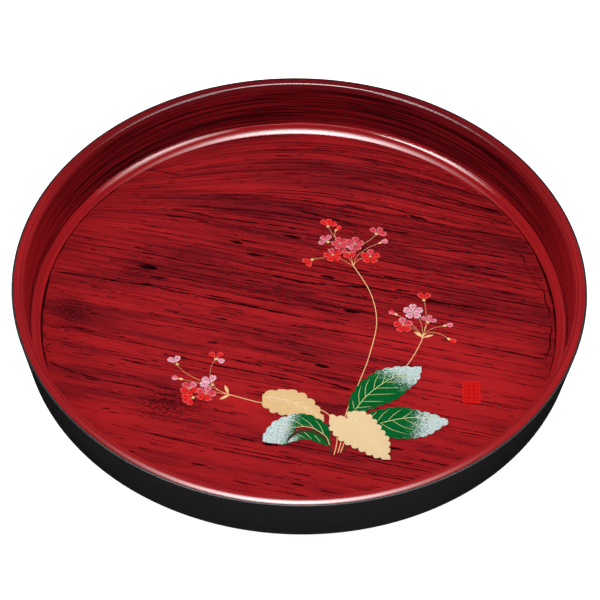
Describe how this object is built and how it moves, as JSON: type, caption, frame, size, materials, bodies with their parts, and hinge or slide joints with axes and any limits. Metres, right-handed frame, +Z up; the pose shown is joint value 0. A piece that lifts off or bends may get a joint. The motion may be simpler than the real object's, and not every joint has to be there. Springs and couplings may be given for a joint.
{
  "type": "round lacquer serving tray",
  "caption": "Round low-walled serving tray, brushed red lacquer inside and black outside, with a raised painted primrose spray on its floor.",
  "frame": {"origin": "under the middle of the tray, on the plane that its foot ring stands on", "axes": "+Z up out of the tray; +Y towards the flower heads of the spray, which is the far side of the pictured view; +X to the right in that view"},
  "size_m": [0.3, 0.3, 0.036],
  "materials": {
    "black_lacquer": "satin black lacquer",
    "red_lacquer": "polished red lacquer",
    "brushed_red_lacquer": "polished red lacquer with dark brush streaks",
    "wood_core": "bare turned wood, closed in by the lacquer",
    "gold_paint": "soft gold powder paint",
    "green_paint": "green lacquer paint, silver powder at the leaf tips",
    "dark_green_paint": "dark olive lacquer paint",
    "red_paint": "bright red lacquer paint",
    "rose_paint": "rose lacquer paint",
    "pink_paint": "pink lacquer paint",
    "pale_pink_paint": "pale pink lacquer paint",
    "seal_red": "vermilion paint"
  },
  "bodies": {
    "root": {"outer_shell": "black_lacquer", "foot_ring": "black_lacquer", "bottom_board": "wood_core", "side_hoop": "wood_core", "rim_band": "red_lacquer", "wall_lining": "red_lacquer", "corner_cove": "red_lacquer", "floor_panel": "brushed_red_lacquer", "green_leaf_upper": "green_paint", "green_leaf_right": "green_paint", "green_leaf_left": "green_paint", "green_leaf_left_fold": "green_paint", "gold_leaf_left": "gold_paint", "gold_leaf_right": "gold_paint", "leaf_stalk_left": "dark_green_paint", "leaf_stalk_right": "dark_green_paint", "stem_top": "gold_paint", "stem_right": "gold_paint", "stem_left": "gold_paint", "top_blossom_half_red": "red_paint", "top_blossom_half_pink_left": "pink_paint", "top_blossom_half_pink_right": "pink_paint", "top_blossom_rose_left": "rose_paint", "top_blossom_rose_right": "rose_paint", "top_blossom_red_middle": "red_paint", "top_blossom_red_left": "red_paint", "top_blossom_red_right": "red_paint", "top_blossom_opening_red": "red_paint", "right_blossom_half_red": "red_paint", "right_blossom_pale": "pale_pink_paint", "right_blossom_red": "red_paint", "right_blossom_half_pink": "pink_paint", "left_blossom_half_red": "red_paint", "left_blossom_half_pale": "pale_pink_paint", "left_blossom_pale": "pale_pink_paint", "left_blossom_red": "red_paint", "left_blossom_pink": "pink_paint", "left_blossom_half_red_low": "red_paint", "top_bud_red": "red_paint", "top_bud_pink": "pink_paint", "right_bud_pink_left": "pink_paint", "right_bud_pink_right": "pink_paint", "right_bud_red": "red_paint", "left_bud_pink": "pink_paint", "seal_panel": "seal_red"}
  },
  "joints": []
}
